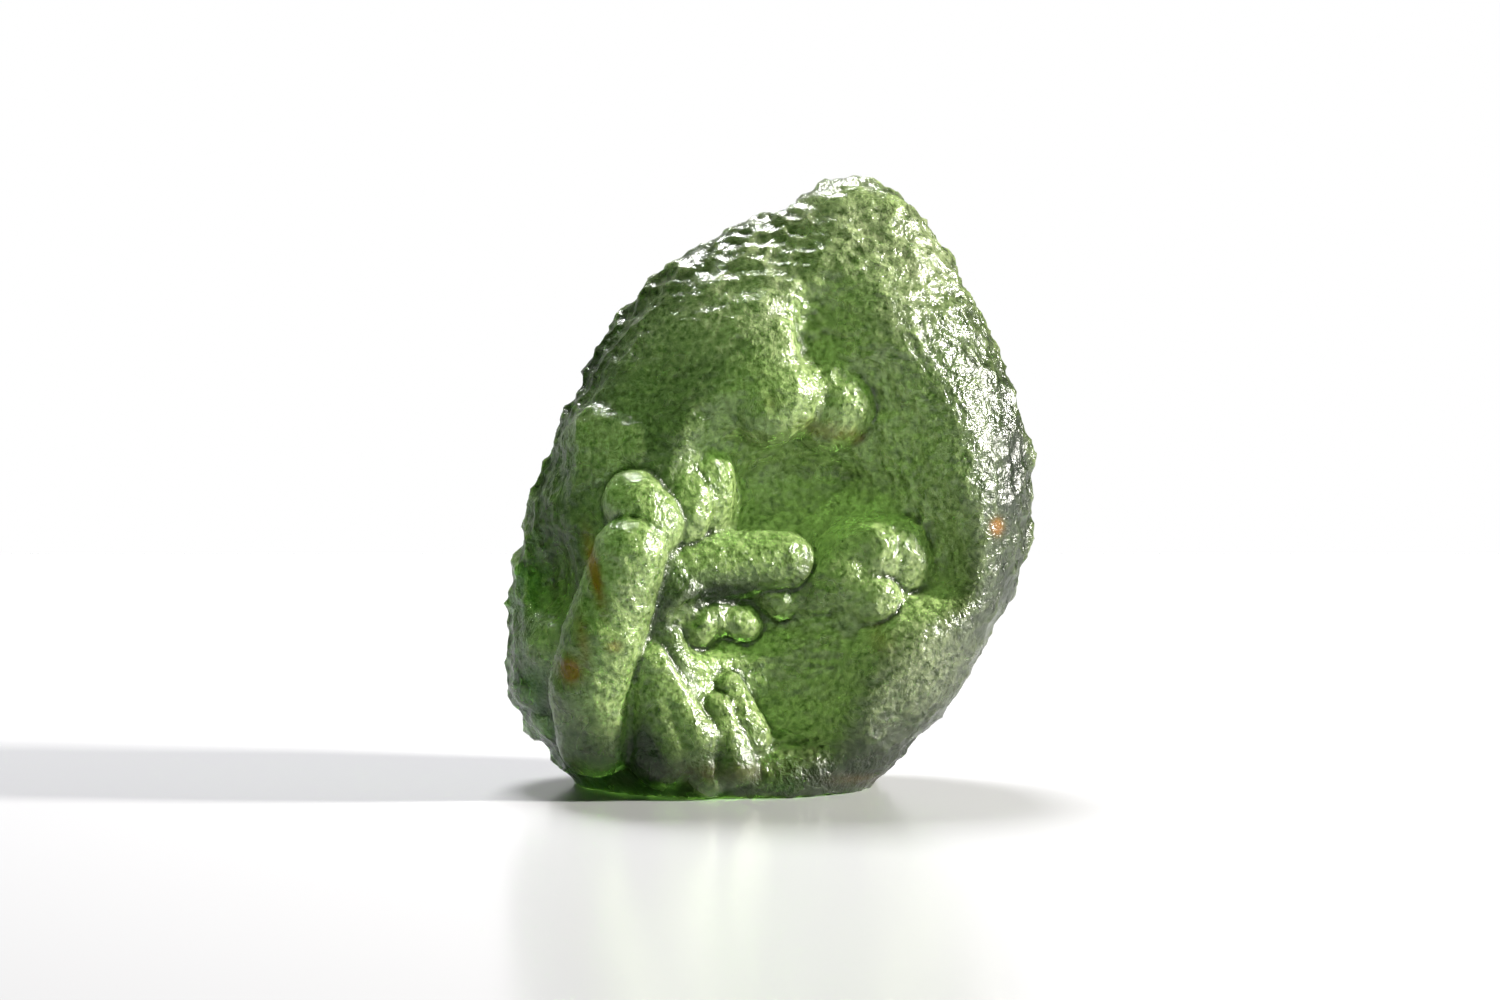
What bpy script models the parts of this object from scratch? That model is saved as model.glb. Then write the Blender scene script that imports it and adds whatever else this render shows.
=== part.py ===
"""A moldavite: one lump of green natural glass, 21.7 mm tall, that stands on a small flat foot.

The stone is drawn as a distance formula: a flattened egg, with broad hollows taken out of its front,
lobes and rods added there, and short furrows in its back. A ball's points come in from outside the egg
until they meet the surface where the formula is zero. Cups etched in the sides and the back are laid over
that. X runs to the right of the etched front, which faces -Y, and Z runs up. The named sizes are in
millimetres.
"""

import math

import bmesh
import bpy
import numpy as np

MM = 0.001

# The outline seen from the front, as (x, z) points round the stone. Its foot is cut off at z = 0.
OUTLINE = (
    (3.4, 21.7), (5.6, 20.5), (7.0, 18.3), (8.3, 15.8), (9.25, 12.7), (9.45, 9.8), (8.95, 6.8), (7.4, 4.1),
    (5.2, 1.7), (4.0, 0.1), (1.0, -3.0), (-3.0, -3.0), (-6.4, -0.1), (-7.9, 1.6), (-9.2, 3.8), (-9.0, 6.0),
    (-8.4, 8.7), (-7.6, 11.5), (-6.3, 14.5), (-4.25, 17.5), (-1.6, 19.6), (1.0, 20.8),
)
MIDDLE_X = 0.1
MIDDLE_Z = 10.2
OUTLINE_STEPS = 720
OUTLINE_ROUNDING = 9

# The side profile: at each height, the depth of the rim and the reach in front of it and behind it.
PROFILE_HEIGHTS = (-2.0, 0.5, 3.0, 8.0, 13.0, 17.0, 20.0, 22.0)
RIM_DEPTHS = (-0.3, -0.3, -0.1, 0.3, 0.6, 0.8, 0.9, 0.9)
FRONT_REACHES = (6.0, 5.9, 5.6, 5.0, 4.7, 4.0, 2.9, 2.2)
BACK_REACHES = (3.8, 4.9, 5.6, 6.0, 5.6, 4.6, 3.5, 2.8)
FULLNESS = 2.4

# Ellipsoids: centre (x, y, z), half sizes along them, and the tilt from upright, seen from the front.
BROAD_HOLLOWS = {
    "bowl": ((2.6, -9.6, 11.6), (6.9, 8.2, 9.2), 8),
    "bowl_floor": ((1.3, -5.6, 10.2), (4.6, 5.0, 3.6), 10),
    "lower_bowl": ((1.0, -9.6, 4.3), (5.2, 6.6, 4.9), -15),
    "boss_drop": ((2.0, -4.0, 17.4), (1.9, 2.4, 2.9), -12),
    "disc_drop": ((5.9, -4.4, 8.4), (1.7, 2.7, 2.6), 10),
}
BROAD_BULGES = {
    "boss_foot": ((-1.1, -0.3, 15.6), (2.6, 2.3, 3.6), -8),
    "ear_foot": ((-2.7, -1.0, 10.6), (1.9, 2.0, 2.2), 0),
    "disc_foot": ((3.9, -0.2, 7.6), (2.3, 2.0, 2.2), 0),
    "fold_foot": ((-5.6, -1.8, 5.6), (1.7, 2.7, 4.8), 0),
    "panel_foot": ((-3.3, -2.3, 2.0), (2.2, 2.4, 2.6), 0),
    "right_foot": ((4.9, -1.9, 3.6), (2.1, 2.5, 3.5), -32),
}
DEEP_HOLLOWS = {
    "green_hollow": ((2.0, -3.9, 11.0), (3.5, 3.4, 1.5), 0),
    "bead_shelf": ((-0.3, -5.0, 6.1), (3.0, 2.6, 1.6), 0),
    "left_recess": ((-8.0, -4.9, 8.3), (1.5, 3.7, 3.0), 8),
}
# Lobes grow out of the stone towards a free edge: centre, half sizes (towards that edge, deep, along it),
# the free edge's direction from the right, seen from the front, and how far that edge is lifted forwards.
LOBES = {
    "boss_plateau": ((-1.6, -1.2, 16.0), (2.5, 1.6, 3.4), -8, 10),
    "upper_boss": ((-0.9, -1.75, 17.6), (1.6, 1.4, 1.9), 0, 16),
    "boss_saddle": ((-0.5, -1.9, 15.8), (1.7, 1.4, 1.6), -25, 18),
    "lower_boss": ((0.25, -2.1, 14.0), (1.7, 1.6, 1.7), -50, 14),
    "side_boss": ((2.5, -1.2, 13.6), (1.5, 1.5, 1.6), -45, 14),
    "little_boss": ((-1.3, -2.0, 13.3), (0.9, 1.1, 1.0), -80, 10),
    "outer_ear": ((-2.7, -2.1, 10.7), (1.8, 1.2, 1.9), -10, 22),
    "inner_ear": ((-3.1, -3.0, 10.2), (1.4, 1.0, 1.5), -10, 24),
    "left_bead": ((-4.7, -2.6, 12.2), (1.2, 1.2, 1.2), 10, 20),
    "left_ridge": ((-5.8, -2.2, 12.1), (1.0, 1.1, 1.7), 5, 15),
    "first_bead": ((-3.1, -3.3, 6.6), (0.55, 1.1, 0.75), -20, 15),
    "second_bead": ((-2.1, -3.1, 5.9), (0.6, 1.1, 0.8), -30, 15),
    "long_bead": ((-0.9, -2.7, 6.1), (0.9, 1.1, 0.6), -30, 10),
    "dark_bead": ((0.6, -2.4, 6.7), (0.6, 0.9, 0.55), -50, 8),
    "hanging_lobe": ((2.3, -2.0, 7.3), (0.85, 1.3, 1.4), -40, 10),
    "back_disc": ((4.6, -1.5, 8.2), (1.5, 1.3, 1.6), 10, 14),
    "upper_disc": ((3.9, -1.9, 8.4), (1.3, 1.3, 1.3), 15, 14),
    "lower_disc": ((3.9, -2.6, 6.9), (1.05, 1.1, 0.95), -10, 14),
    "right_lobe": ((5.3, -2.8, 3.5), (2.8, 1.9, 1.7), 58, 6),
    "pale_lobe": ((-7.8, -2.1, 5.0), (0.9, 1.6, 1.1), 200, 15),
    "dark_lobe": ((-8.2, -1.4, 3.5), (0.9, 1.6, 0.75), 190, 10),
    "low_lobe": ((-7.9, -1.5, 2.3), (0.65, 1.6, 0.7), 200, 10),
}
# Rods with round ends: the two ends and the radius at each.
RODS = {
    "knuckle": ((-4.5, -3.8, 10.4), 1.2, (-4.0, -3.9, 9.7), 1.25),
    "fold": ((-4.65, -4.75, 8.75), 1.3, (-5.65, -4.85, 5.7), 1.45),
    "fold_bend": ((-5.65, -4.85, 5.7), 1.45, (-6.15, -4.7, 3.9), 1.4),
    "fold_end": ((-6.15, -4.7, 3.9), 1.4, (-5.9, -4.1, 2.1), 1.4),
    "cross_rod": ((-2.9, -2.9, 7.9), 1.35, (0.75, -2.6, 8.25), 1.1),
    "panel": ((-3.95, -4.6, 4.9), 0.7, (-3.35, -4.1, 1.8), 1.55),
    "panel_ridge": ((-3.6, -4.9, 4.7), 0.45, (-2.35, -4.7, 2.1), 0.85),
    "second_ridge": ((-3.3, -4.2, 5.6), 0.5, (-2.75, -4.3, 3.8), 0.65),
    "first_finger": ((-2.6, -4.8, 2.6), 0.6, (-2.0, -4.6, 0.7), 0.7),
    "second_finger": ((-1.6, -4.2, 3.2), 0.55, (-1.0, -4.4, 1.1), 0.85),
    "third_finger": ((-1.2, -3.7, 3.9), 0.55, (-0.5, -3.8, 2.1), 0.8),
}
BROAD_BLEND = 1.2
HOLLOW_BLEND = 0.4
CREASE = 0.24
# A lobe is joined on sharply at its free edge and more and more softly behind it.
SOFTENING = 1.0
# The lobes reach no further out than this beyond the plain stone.
LOBE_REACH = 0.2
LOBE_REACH_BLEND = 0.6
LOBE_FULLNESS = 2.4
# Past this distance beyond a shape and its blend, the shape changes nothing.
BLEND_MARGIN = 0.5

# Short furrows lie over the domed back, mostly pointing outwards.
FURROWS = 46
FURROW_RADIUS = 0.95
FURROW_DEPTH = 0.3
FURROW_LENGTH = 3.0
FURROW_SPREAD = 0.7
SEED = 14

# Etched cups meet in low ridges all over the sides, the top and the back. The front keeps a trace of them.
CUP_WIDTH = 2.3
CUP_HEIGHT = 3.0
CUP_DEPTH = 0.5
CUP_FADE = (-3.2, 0.2)
FRONT_CUPS = 0.15

SUBDIVISIONS = 7
FRONT_SHARE = 0.3
STAND_OFF = 3.0
STEPS_INWARD = 60
RELAXING_ROUNDS = 40
LONGEST_STEP = 0.25
KEPT_FACES = 0.114
FOOT_CUTTER = 30.0
SHIFT_X = -0.25
SHIFT_Y = 0.0

GLASS_COLOUR = (0.20, 0.34, 0.11, 1.0)


def clear_scene():
    for obj in list(bpy.data.objects):
        bpy.data.objects.remove(obj, do_unlink=True)


def collection_named(name):
    collection = bpy.data.collections.new(name)
    bpy.context.scene.collection.children.link(collection)
    return collection


def smooth_min(a, b, width):
    """The lower of two distances, rounded off where they are within a width of each other."""
    share = np.clip(0.5 + 0.5 * (b - a) / width, 0.0, 1.0)
    return b + (a - b) * share - width * share * (1.0 - share)


def outline_reach():
    """The outline's reach from its middle at evenly spaced angles, with its corners rounded."""
    from_middle = np.array(OUTLINE) - (MIDDLE_X, MIDDLE_Z)
    angles = np.arctan2(from_middle[:, 1], from_middle[:, 0])
    reaches = np.hypot(from_middle[:, 0], from_middle[:, 1])
    steps = np.linspace(-math.pi, math.pi, OUTLINE_STEPS, endpoint=False)
    reach = np.interp(steps, angles, reaches, period=2 * math.pi)
    weights = np.hanning(2 * OUTLINE_ROUNDING + 3)[1:-1]
    around = np.concatenate([reach[-OUTLINE_ROUNDING:], reach, reach[:OUTLINE_ROUNDING]])
    return steps, np.convolve(around, weights / weights.sum(), "valid")


STEPS, REACH = outline_reach()


def egg_distance(points):
    """Distance to the plain stone: rounded across, with its outline where the depth is the rim's."""
    across = points[:, 0] - MIDDLE_X
    up = points[:, 2] - MIDDLE_Z
    deep = points[:, 1] - np.interp(points[:, 2], PROFILE_HEIGHTS, RIM_DEPTHS)
    reach = np.interp(np.arctan2(up, across), STEPS, REACH, period=2 * math.pi)
    front = np.interp(points[:, 2], PROFILE_HEIGHTS, FRONT_REACHES)
    back = np.interp(points[:, 2], PROFILE_HEIGHTS, BACK_REACHES)
    outward = np.hypot(across, up)
    ratio = (outward / reach) ** FULLNESS + (np.abs(deep) / np.where(deep < 0, front, back)) ** FULLNESS
    ratio = np.maximum(ratio ** (1 / FULLNESS), 0.001)
    return np.hypot(outward, deep) * (1 - 1 / ratio)


def axes_of(tilt, lift):
    """The three directions of a shape that is turned in the front view and lifted at its side."""
    turn, rise = math.radians(tilt), math.radians(lift)
    side = np.array([math.cos(turn), 0.0, math.sin(turn)])
    back = np.array([0.0, 1.0, 0.0])
    along = np.array([-math.sin(turn), 0.0, math.cos(turn)])
    return np.array([
        math.cos(rise) * side - math.sin(rise) * back,
        math.sin(rise) * side + math.cos(rise) * back,
        along,
    ])


def ellipsoid_distance(away, scaled, fullness):
    """Distance to an ellipsoid, from the offsets from its centre and those divided by its half sizes."""
    ratio = np.maximum((np.abs(scaled) ** fullness).sum(axis=1) ** (1 / fullness), 0.001)
    return np.linalg.norm(away, axis=1) * (1 - 1 / ratio)


def rod_distance(points, start, start_radius, end, end_radius):
    axis = np.array(end) - start
    along = np.clip((points - start) @ axis / (axis @ axis), 0.0, 1.0)
    nearest = start + along[:, None] * axis
    return np.linalg.norm(points - nearest, axis=1) - (start_radius + (end_radius - start_radius) * along)


def close_to(points, centre, reach):
    return np.nonzero(((points - np.array(centre)) ** 2).sum(axis=1) < reach * reach)[0]


def blend_ellipsoids(distance, points, ellipsoids, width, added):
    """Adds ellipsoids to the stone, or takes them away. Only points within their reach are worked out."""
    sign = 1.0 if added else -1.0
    for centre, half_sizes, tilt in ellipsoids.values():
        near = close_to(points, centre, max(half_sizes) + 2 * width + BLEND_MARGIN)
        away = points[near] - centre
        shape = ellipsoid_distance(away, away @ axes_of(tilt, 0).T / half_sizes, 2.0)
        distance[near] = sign * smooth_min(sign * distance[near], shape, width)


def blend_lobes(distance, points):
    """Adds the lobes, each with a sharp crease at its free edge and a soft one behind it."""
    for centre, half_sizes, free_edge, lift in LOBES.values():
        near = close_to(points, centre, max(half_sizes) + 1.5 * SOFTENING)
        away = points[near] - centre
        scaled = away @ axes_of(free_edge, lift).T / half_sizes
        behind = np.clip(0.35 - 0.6 * scaled[:, 0], 0.0, 1.0)
        width = CREASE + SOFTENING * behind * behind * (3.0 - 2.0 * behind)
        shape = ellipsoid_distance(away, scaled, LOBE_FULLNESS)
        distance[near] = smooth_min(distance[near], shape, width)


def blend_rods(distance, points, rods, width, added):
    sign = 1.0 if added else -1.0
    for start, start_radius, end, end_radius in rods:
        middle = (np.array(start) + end) / 2
        radius = math.dist(start, end) / 2 + max(start_radius, end_radius)
        near = close_to(points, middle, radius + 2 * width + BLEND_MARGIN)
        shape = rod_distance(points[near], np.array(start), start_radius, np.array(end), end_radius)
        distance[near] = sign * smooth_min(sign * distance[near], shape, width)


def slope(distance, points):
    """The formula's direction of steepest rise and its steepness at each point."""
    step = 0.02
    moves = step * np.eye(3)
    rise = [distance(points + move) - distance(points - move) for move in moves]
    gradient = np.stack(rise, axis=1) / (2 * step)
    steepness = np.maximum(np.linalg.norm(gradient, axis=1, keepdims=True), 0.2)
    return gradient / steepness, steepness


def onto_surface(distance, points, longest=LONGEST_STEP):
    """Each point moved along the slope towards where the distance is zero."""
    normals, steepness = slope(distance, points)
    return points - np.clip(distance(points)[:, None] / steepness, -longest, longest) * normals


def onto_egg(directions):
    """The points of the plain stone in these directions from its middle."""
    points = np.array([MIDDLE_X, 0.5, MIDDLE_Z]) + 7.0 * directions
    for _ in range(16):
        points = onto_surface(egg_distance, points, longest=3.0)
    return points


def spread(count, seed):
    """Directions spread evenly over a ball, each a little out of line."""
    chance = np.random.default_rng(seed)
    number = np.arange(count) + 0.5
    up = 1 - 2 * number / count
    turn = number * math.pi * (1 + math.sqrt(5))
    level = np.sqrt(1 - up * up)
    directions = np.stack([level * np.cos(turn), level * np.sin(turn), up], axis=1)
    directions += chance.uniform(-0.5, 0.5, directions.shape) * math.sqrt(4 / count)
    return directions / np.linalg.norm(directions, axis=1, keepdims=True)


def back_furrows():
    """Rods laid on the domed back, each sunk in it by the furrows' depth."""
    chance = np.random.default_rng(SEED)
    directions = spread(FURROWS, SEED)
    middles = onto_egg(directions[directions[:, 1] > 0.1])
    normals, _ = slope(egg_distance, middles)
    outward = middles - (MIDDLE_X, 0.0, MIDDLE_Z)
    outward -= (outward * normals).sum(axis=1, keepdims=True) * normals
    outward /= np.linalg.norm(outward, axis=1, keepdims=True)
    turns = chance.normal(0.0, FURROW_SPREAD, (len(middles), 1))
    along = np.cos(turns) * outward + np.sin(turns) * np.cross(normals, outward)
    lengths = FURROW_LENGTH * chance.uniform(0.5, 1.2, (len(middles), 1))
    radii = FURROW_RADIUS * chance.uniform(0.7, 1.25, len(middles))
    ends = []
    for side in (-0.5, 0.5):
        end = onto_surface(egg_distance, middles + side * lengths * along, longest=1.0)
        end_normals, _ = slope(egg_distance, end)
        ends.append(end + end_normals * (radii - FURROW_DEPTH)[:, None])
    return [(start, radius, end, 0.8 * radius) for start, end, radius in zip(ends[0], ends[1], radii)]


FURROW_RODS = back_furrows()


def stone_distance(points):
    """Distance to the whole stone, foot included: below zero inside it."""
    distance = egg_distance(points)
    blend_ellipsoids(distance, points, BROAD_HOLLOWS, BROAD_BLEND, added=False)
    blend_ellipsoids(distance, points, BROAD_BULGES, BROAD_BLEND, added=True)
    blend_rods(distance, points, FURROW_RODS, CREASE, added=False)
    blend_ellipsoids(distance, points, DEEP_HOLLOWS, HOLLOW_BLEND, added=False)
    blend_lobes(distance, points)
    distance = -smooth_min(-distance, LOBE_REACH - egg_distance(points), LOBE_REACH_BLEND)
    blend_rods(distance, points, RODS.values(), CREASE, added=True)
    return distance


def relaxed(points, edges):
    """Each point moved halfway to the middle of its neighbours."""
    count = np.bincount(edges.ravel(), minlength=len(points))[:, None]
    total = np.zeros_like(points)
    for axis in range(3):
        total[:, axis] += np.bincount(edges[:, 0], points[edges[:, 1], axis], len(points))
        total[:, axis] += np.bincount(edges[:, 1], points[edges[:, 0], axis], len(points))
    return 0.5 * points + 0.5 * total / count


def cup_height(points):
    """How far the etched cups lift each point: each cup is a bowl round a centre in a jittered lattice."""
    scaled = points / (CUP_WIDTH, CUP_WIDTH, CUP_HEIGHT)
    cell = np.floor(scaled)
    nearest = np.full(len(points), 9.0)
    for offset in np.ndindex(3, 3, 3):
        corner = cell + np.array(offset) - 1
        turns = corner @ np.array([[127.1, 269.5, 113.5], [311.7, 183.3, 271.9], [74.7, 246.1, 124.6]])
        centre = corner + 0.1 + 0.8 * np.mod(np.sin(turns) * 43758.5453, 1.0)
        nearest = np.minimum(nearest, ((scaled - centre) ** 2).sum(axis=1))
    share = np.clip((points[:, 1] - CUP_FADE[0]) / (CUP_FADE[1] - CUP_FADE[0]), FRONT_CUPS, 1.0)
    return CUP_DEPTH * share * (np.minimum(nearest, 0.8) - 0.3)


def stone_points(directions, edges):
    """Points that come straight in from outside the egg until they meet the stone, then even out on it."""
    leaning = directions - (0.0, FRONT_SHARE, 0.0)
    points = onto_egg(leaning / np.linalg.norm(leaning, axis=1, keepdims=True))
    inward = -slope(egg_distance, points)[0]
    points = points - STAND_OFF * inward
    for _ in range(STEPS_INWARD):
        gap = stone_distance(points)
        coming = np.nonzero(gap > 0.01)[0]
        points[coming] += np.clip(0.8 * gap[coming, None], 0.01, 1.0) * inward[coming]
    for _ in range(RELAXING_ROUNDS):
        points = onto_surface(stone_distance, relaxed(points, edges))
    points = onto_surface(stone_distance, points)
    return points + cup_height(points)[:, None] * slope(stone_distance, points)[0]


def stone_mesh():
    """A ball's mesh, with each of its points brought onto the stone."""
    shape = bmesh.new()
    bmesh.ops.create_icosphere(shape, subdivisions=SUBDIVISIONS, radius=1.0)
    mesh = bpy.data.meshes.new("moldavite")
    shape.to_mesh(mesh)
    shape.free()
    directions = np.empty(3 * len(mesh.vertices))
    mesh.vertices.foreach_get("co", directions)
    edges = np.empty(2 * len(mesh.edges), np.int32)
    mesh.edges.foreach_get("vertices", edges)
    points = stone_points(directions.reshape(-1, 3), edges.reshape(-1, 2))
    points = (points + (SHIFT_X, SHIFT_Y, 0.0)) * MM
    mesh.vertices.foreach_set("co", points.ravel())
    mesh.update()
    return mesh


def natural_glass():
    material = bpy.data.materials.new("natural_glass")
    material.use_nodes = True
    shader = material.node_tree.nodes["Principled BSDF"]
    shader.inputs["Base Color"].default_value = GLASS_COLOUR
    shader.inputs["Roughness"].default_value = 0.25
    shader.inputs["Metallic"].default_value = 0.0
    shader.inputs["Transmission Weight"].default_value = 1.0
    return material


def foot_cutter(cutters):
    """A block whose top is the surface that the stone stands on."""
    bpy.ops.mesh.primitive_cube_add(size=FOOT_CUTTER * MM, location=(0.0, 0.0, -FOOT_CUTTER * MM / 2))
    block = bpy.context.object
    block.name = "foot_cutter"
    for collection in list(block.users_collection):
        collection.objects.unlink(block)
    cutters.objects.link(block)
    block.hide_render = True
    block.display_type = "WIRE"
    return block


def make_stone(stones, cutters):
    stone = bpy.data.objects.new("moldavite", stone_mesh())
    stones.objects.link(stone)
    stone.data.materials.append(natural_glass())
    thinning = stone.modifiers.new("thinning", "DECIMATE")
    thinning.ratio = KEPT_FACES
    foot = stone.modifiers.new("flat_foot", "BOOLEAN")
    foot.operation = "DIFFERENCE"
    foot.solver = "EXACT"
    foot.object = foot_cutter(cutters)
    stone.data.shade_smooth()
    return stone


def main():
    clear_scene()
    stones = collection_named("moldavite")
    cutters = collection_named("cutters")
    make_stone(stones, cutters)


main()
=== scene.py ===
import math

import bpy
import numpy as np
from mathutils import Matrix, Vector


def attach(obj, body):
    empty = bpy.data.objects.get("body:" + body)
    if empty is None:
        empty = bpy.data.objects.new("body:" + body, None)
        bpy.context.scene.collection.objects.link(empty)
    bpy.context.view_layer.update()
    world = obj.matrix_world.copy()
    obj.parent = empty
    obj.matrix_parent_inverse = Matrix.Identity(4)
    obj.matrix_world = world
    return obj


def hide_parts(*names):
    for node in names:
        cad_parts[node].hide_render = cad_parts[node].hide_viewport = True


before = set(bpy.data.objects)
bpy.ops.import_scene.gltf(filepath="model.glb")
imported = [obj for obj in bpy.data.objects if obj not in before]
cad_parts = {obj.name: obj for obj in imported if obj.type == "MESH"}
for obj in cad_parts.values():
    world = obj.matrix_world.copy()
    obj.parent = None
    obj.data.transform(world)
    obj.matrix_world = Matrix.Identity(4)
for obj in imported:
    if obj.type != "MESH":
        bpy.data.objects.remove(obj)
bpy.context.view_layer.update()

mm = 0.001

# The stone: sizes in millimetres, X to the right of the etched front, which faces -Y, and Z up.
# At each of the heights stand the rim's Y and how far the stone goes from it to the front and the back.
stoneShape = {
    "outline": (
        (3.4, 21.7), (5.6, 20.5), (7.0, 18.3), (8.3, 15.8), (9.25, 12.7), (9.45, 9.8),
        (8.95, 6.8), (7.4, 4.1), (5.2, 1.7), (4.0, 0.1), (1.0, -3.0), (-3.0, -3.0),
        (-6.4, -0.1), (-7.9, 1.6), (-9.2, 3.8), (-9.0, 6.0), (-8.4, 8.7), (-7.6, 11.5),
        (-6.3, 14.5), (-4.25, 17.5), (-1.6, 19.6), (1.0, 20.8),
    ),
    "middle": (0.1, 0.5, 10.2),
    "outlineSteps": 720,
    "outlineRounding": 9,
    "heights": (-2.0, 0.5, 3.0, 8.0, 13.0, 17.0, 20.0, 22.0),
    "rimDepths": (-0.3, -0.3, -0.1, 0.3, 0.6, 0.8, 0.9, 0.9),
    "frontReaches": (6.0, 5.9, 5.6, 5.0, 4.7, 4.0, 2.9, 2.2),
    "backReaches": (3.8, 4.9, 5.6, 6.0, 5.6, 4.6, 3.5, 2.8),
    "fullness": 2.4,
    "leastRatio": 0.001,
    "broadBlend": 1.2,
    "hollowBlend": 0.4,
    "blendMargin": 0.5,
    "crease": 0.12,
    "softening": 1.0,
    "softStart": 0.35,
    "softSlope": 0.6,
    "lobeFullness": 2.4,
    "lobeReach": 0.2,
    "lobeReachBlend": 0.6,
    "shift": (-0.25, 0.0, 0.0),
}

# Ellipsoids: centre, half sizes, and the tilt from upright in degrees, seen from the front.
broadHollows = {
    "bowl": ((2.6, -9.6, 11.6), (6.9, 8.2, 9.2), 8),
    "bowlFloor": ((1.3, -5.6, 10.2), (4.6, 5.0, 3.6), 10),
    "lowerBowl": ((1.0, -9.6, 4.3), (5.2, 6.6, 4.9), -15),
    "bossDrop": ((2.0, -4.0, 17.4), (1.9, 2.4, 2.9), -12),
    "discDrop": ((5.9, -4.4, 8.4), (1.7, 2.7, 2.6), 10),
}
broadBulges = {
    "bossFoot": ((-1.1, -0.3, 15.6), (2.6, 2.3, 3.6), -8),
    "earFoot": ((-2.7, -1.0, 10.6), (1.9, 2.0, 2.2), 0),
    "discFoot": ((3.9, -0.2, 7.6), (2.3, 2.0, 2.2), 0),
    "foldFoot": ((-5.6, -1.8, 5.6), (1.7, 2.7, 4.8), 0),
    "panelFoot": ((-3.3, -2.3, 2.0), (2.2, 2.4, 2.6), 0),
    "rightFoot": ((4.9, -1.9, 3.6), (2.1, 2.5, 3.5), -32),
}
deepHollows = {
    "greenHollow": ((2.0, -3.9, 11.0), (3.5, 3.4, 1.5), 0),
    "beadShelf": ((-0.3, -5.0, 6.1), (3.0, 2.6, 1.6), 0),
    "leftRecess": ((-8.0, -4.9, 8.3), (1.5, 3.7, 3.0), 8),
}
# Lobes grow out of the stone towards a free edge: centre, half sizes (towards the free edge, deep,
# along it), the free edge's direction in degrees from the right, seen from the front, and by how
# many degrees that edge is lifted forwards.
lobes = {
    "bossPlateau": ((-1.6, -1.2, 16.0), (2.5, 1.6, 3.4), -8, 10),
    "upperBoss": ((-0.9, -1.75, 17.6), (1.6, 1.4, 1.9), 0, 16),
    "bossSaddle": ((-0.5, -1.9, 15.8), (1.7, 1.4, 1.6), -25, 18),
    "lowerBoss": ((0.25, -2.1, 14.0), (1.7, 1.6, 1.7), -50, 14),
    "sideBoss": ((2.5, -1.2, 13.6), (1.5, 1.5, 1.6), -45, 14),
    "littleBoss": ((-1.3, -2.0, 13.3), (0.9, 1.1, 1.0), -80, 10),
    "outerEar": ((-2.7, -2.1, 10.7), (1.8, 1.2, 1.9), -10, 22),
    "innerEar": ((-3.1, -3.0, 10.2), (1.4, 1.0, 1.5), -10, 24),
    "leftBead": ((-4.7, -2.6, 12.2), (1.2, 1.2, 1.2), 10, 20),
    "leftRidge": ((-5.8, -2.2, 12.1), (1.0, 1.1, 1.7), 5, 15),
    "firstBead": ((-3.1, -3.3, 6.6), (0.55, 1.1, 0.75), -20, 15),
    "secondBead": ((-2.1, -3.1, 5.9), (0.6, 1.1, 0.8), -30, 15),
    "longBead": ((-0.9, -2.7, 6.1), (0.9, 1.1, 0.6), -30, 10),
    "darkBead": ((0.6, -2.4, 6.7), (0.6, 0.9, 0.55), -50, 8),
    "hangingLobe": ((2.3, -2.0, 7.3), (0.85, 1.3, 1.4), -40, 10),
    "backDisc": ((4.6, -1.5, 8.2), (1.5, 1.3, 1.6), 10, 14),
    "upperDisc": ((3.9, -1.9, 8.4), (1.3, 1.3, 1.3), 15, 14),
    "lowerDisc": ((3.9, -2.6, 6.9), (1.05, 1.1, 0.95), -10, 14),
    "rightLobe": ((5.3, -2.8, 3.5), (2.8, 1.9, 1.7), 58, 6),
    "paleLobe": ((-7.8, -2.1, 5.0), (0.9, 1.6, 1.1), 200, 15),
    "darkLobe": ((-8.2, -1.4, 3.5), (0.9, 1.6, 0.75), 190, 10),
    "lowLobe": ((-7.9, -1.5, 2.3), (0.65, 1.6, 0.7), 200, 10),
}
# Rods with round ends: the two ends and the radius at each.
rods = {
    "knuckle": ((-4.5, -3.8, 10.4), 1.2, (-4.0, -3.9, 9.7), 1.25),
    "fold": ((-4.65, -4.75, 8.75), 1.3, (-5.65, -4.85, 5.7), 1.45),
    "foldBend": ((-5.65, -4.85, 5.7), 1.45, (-6.15, -4.7, 3.9), 1.4),
    "foldEnd": ((-6.15, -4.7, 3.9), 1.4, (-5.9, -4.1, 2.1), 1.4),
    "crossRod": ((-2.9, -2.9, 7.9), 1.35, (0.75, -2.6, 8.25), 1.1),
    "panel": ((-3.95, -4.6, 4.9), 0.7, (-3.35, -4.1, 1.8), 1.55),
    "panelRidge": ((-3.6, -4.9, 4.7), 0.45, (-2.35, -4.7, 2.1), 0.85),
    "secondRidge": ((-3.3, -4.2, 5.6), 0.5, (-2.75, -4.3, 3.8), 0.65),
    "firstFinger": ((-2.6, -4.8, 2.6), 0.6, (-2.0, -4.6, 0.7), 0.7),
    "secondFinger": ((-1.6, -4.2, 3.2), 0.55, (-1.0, -4.4, 1.1), 0.85),
    "thirdFinger": ((-1.2, -3.7, 3.9), 0.55, (-0.5, -3.8, 2.1), 0.8),
}
# Furrows: rods sunk in the domed back. Each length and radius is times an even chance in its range.
furrows = {
    "count": 46,
    "jitter": 0.5,
    "behind": 0.1,
    "startReach": 7.0,
    "radius": 0.95,
    "radiusRange": (0.7, 1.25),
    "taper": 0.8,
    "depth": 0.3,
    "length": 3.0,
    "lengthRange": (0.5, 1.2),
    "longestStep": 1.0,
    "spread": 0.7,
    "seed": 14,
}

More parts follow.
